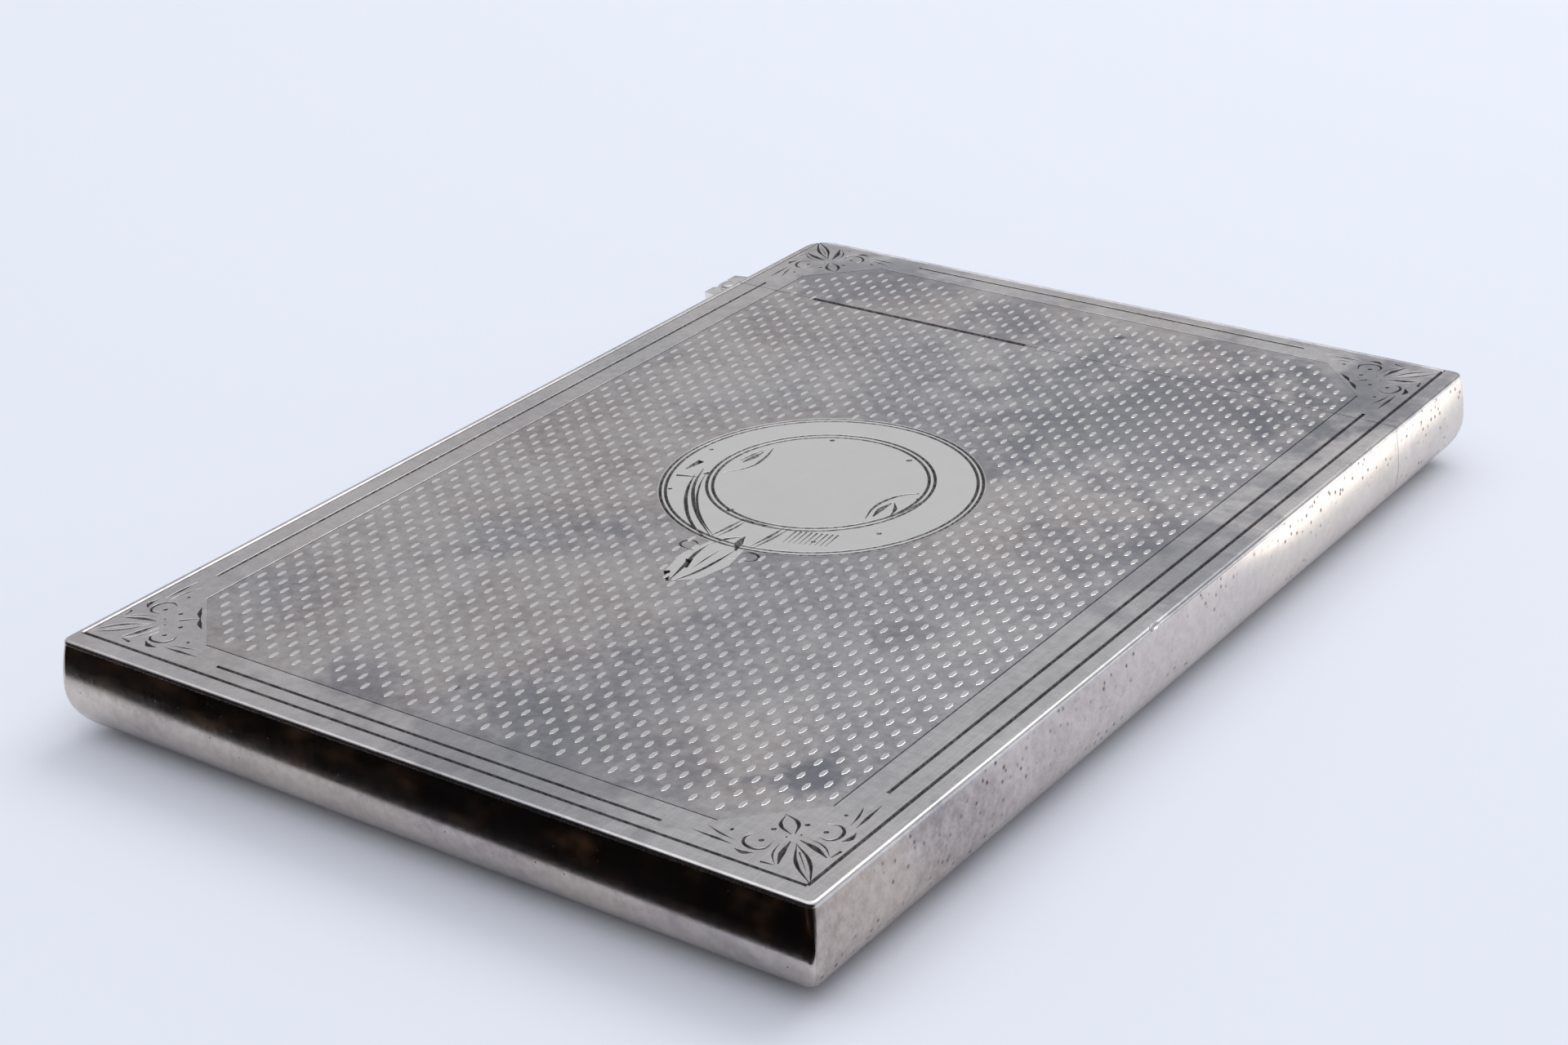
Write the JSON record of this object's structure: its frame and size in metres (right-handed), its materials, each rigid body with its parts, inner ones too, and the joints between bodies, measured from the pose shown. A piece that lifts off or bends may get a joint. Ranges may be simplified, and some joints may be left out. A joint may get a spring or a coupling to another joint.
{
  "type": "card case",
  "caption": "Flat rectangular metal case for visiting or business cards, with an engraved front, rounded back edges and an end lid on a side hinge.",
  "frame": {"origin": "centre of the flat back face", "axes": "+Z out through the engraved front face, +Y along the case towards the lid, +X to the right with the hinge on the -X side"},
  "size_m": [0.0726, 0.1034, 0.0085],
  "materials": {
    "engraved_silver": "engraved and engine turned silver, lightly tarnished",
    "edge_silver": "plain drawn silver, worn and lightly tarnished",
    "back_silver": "engraved silver, worn",
    "collar_silver": "plain polished silver",
    "hinge_silver": "plain silver, soldered",
    "pin_wire": "drawn wire, peened ends"
  },
  "bodies": {
    "body": {"body_front_plate": "engraved_silver", "body_back_plate": "back_silver", "body_left_edge": "edge_silver", "body_right_edge": "edge_silver", "body_end_edge": "edge_silver", "collar_front": "collar_silver", "collar_back": "collar_silver", "collar_left": "collar_silver", "collar_right": "collar_silver", "hinge_leaf_body": "hinge_silver", "hinge_knuckle_front": "hinge_silver", "hinge_knuckle_back": "hinge_silver", "hinge_pin": "pin_wire"},
    "lid": {"lid_front_plate": "engraved_silver", "lid_back_plate": "back_silver", "lid_left_edge": "edge_silver", "lid_right_edge": "edge_silver", "lid_end_edge": "edge_silver", "hinge_leaf_lid": "hinge_silver", "hinge_knuckle_lid": "hinge_silver"}
  },
  "joints": [
    {"name": "lid_hinge", "type": "hinge", "parent": "body", "child": "lid", "pos_m": [-0.03605, 0.03723, 0.00495], "axis": [0, 0, 1], "range_deg": [0, 90]}
  ]
}
